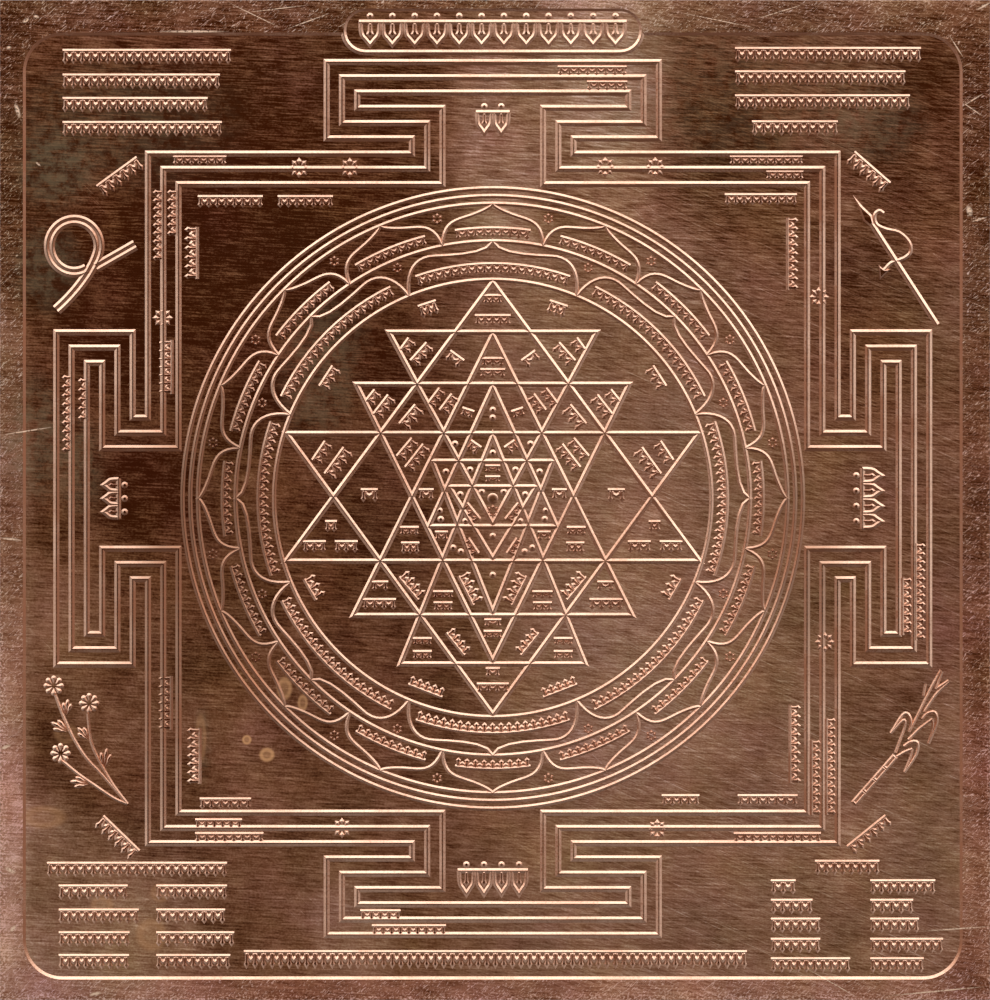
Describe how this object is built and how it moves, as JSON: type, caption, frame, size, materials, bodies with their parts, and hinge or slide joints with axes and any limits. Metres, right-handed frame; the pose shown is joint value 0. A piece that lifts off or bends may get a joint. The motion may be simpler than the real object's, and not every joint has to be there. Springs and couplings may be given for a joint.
{
  "type": "embossed yantra plate",
  "caption": "Flat square plate of struck copper sheet with a raised yantra: gated square, lotus rings and interlocked triangles in a sunk field.",
  "frame": {"origin": "middle of the underside of the plate", "axes": "+Z out of the struck face, which lies upward; +Y toward the top of the design, where the title panel is; +X to the right of the design"},
  "size_m": [0.1524, 0.1538, 0.0007],
  "materials": {
    "struck_copper": "copper sheet, brushed and darkened by tarnish, bright along the raised lines"
  },
  "bodies": {
    "root": {"yantra_plate": "struck_copper"}
  },
  "joints": []
}
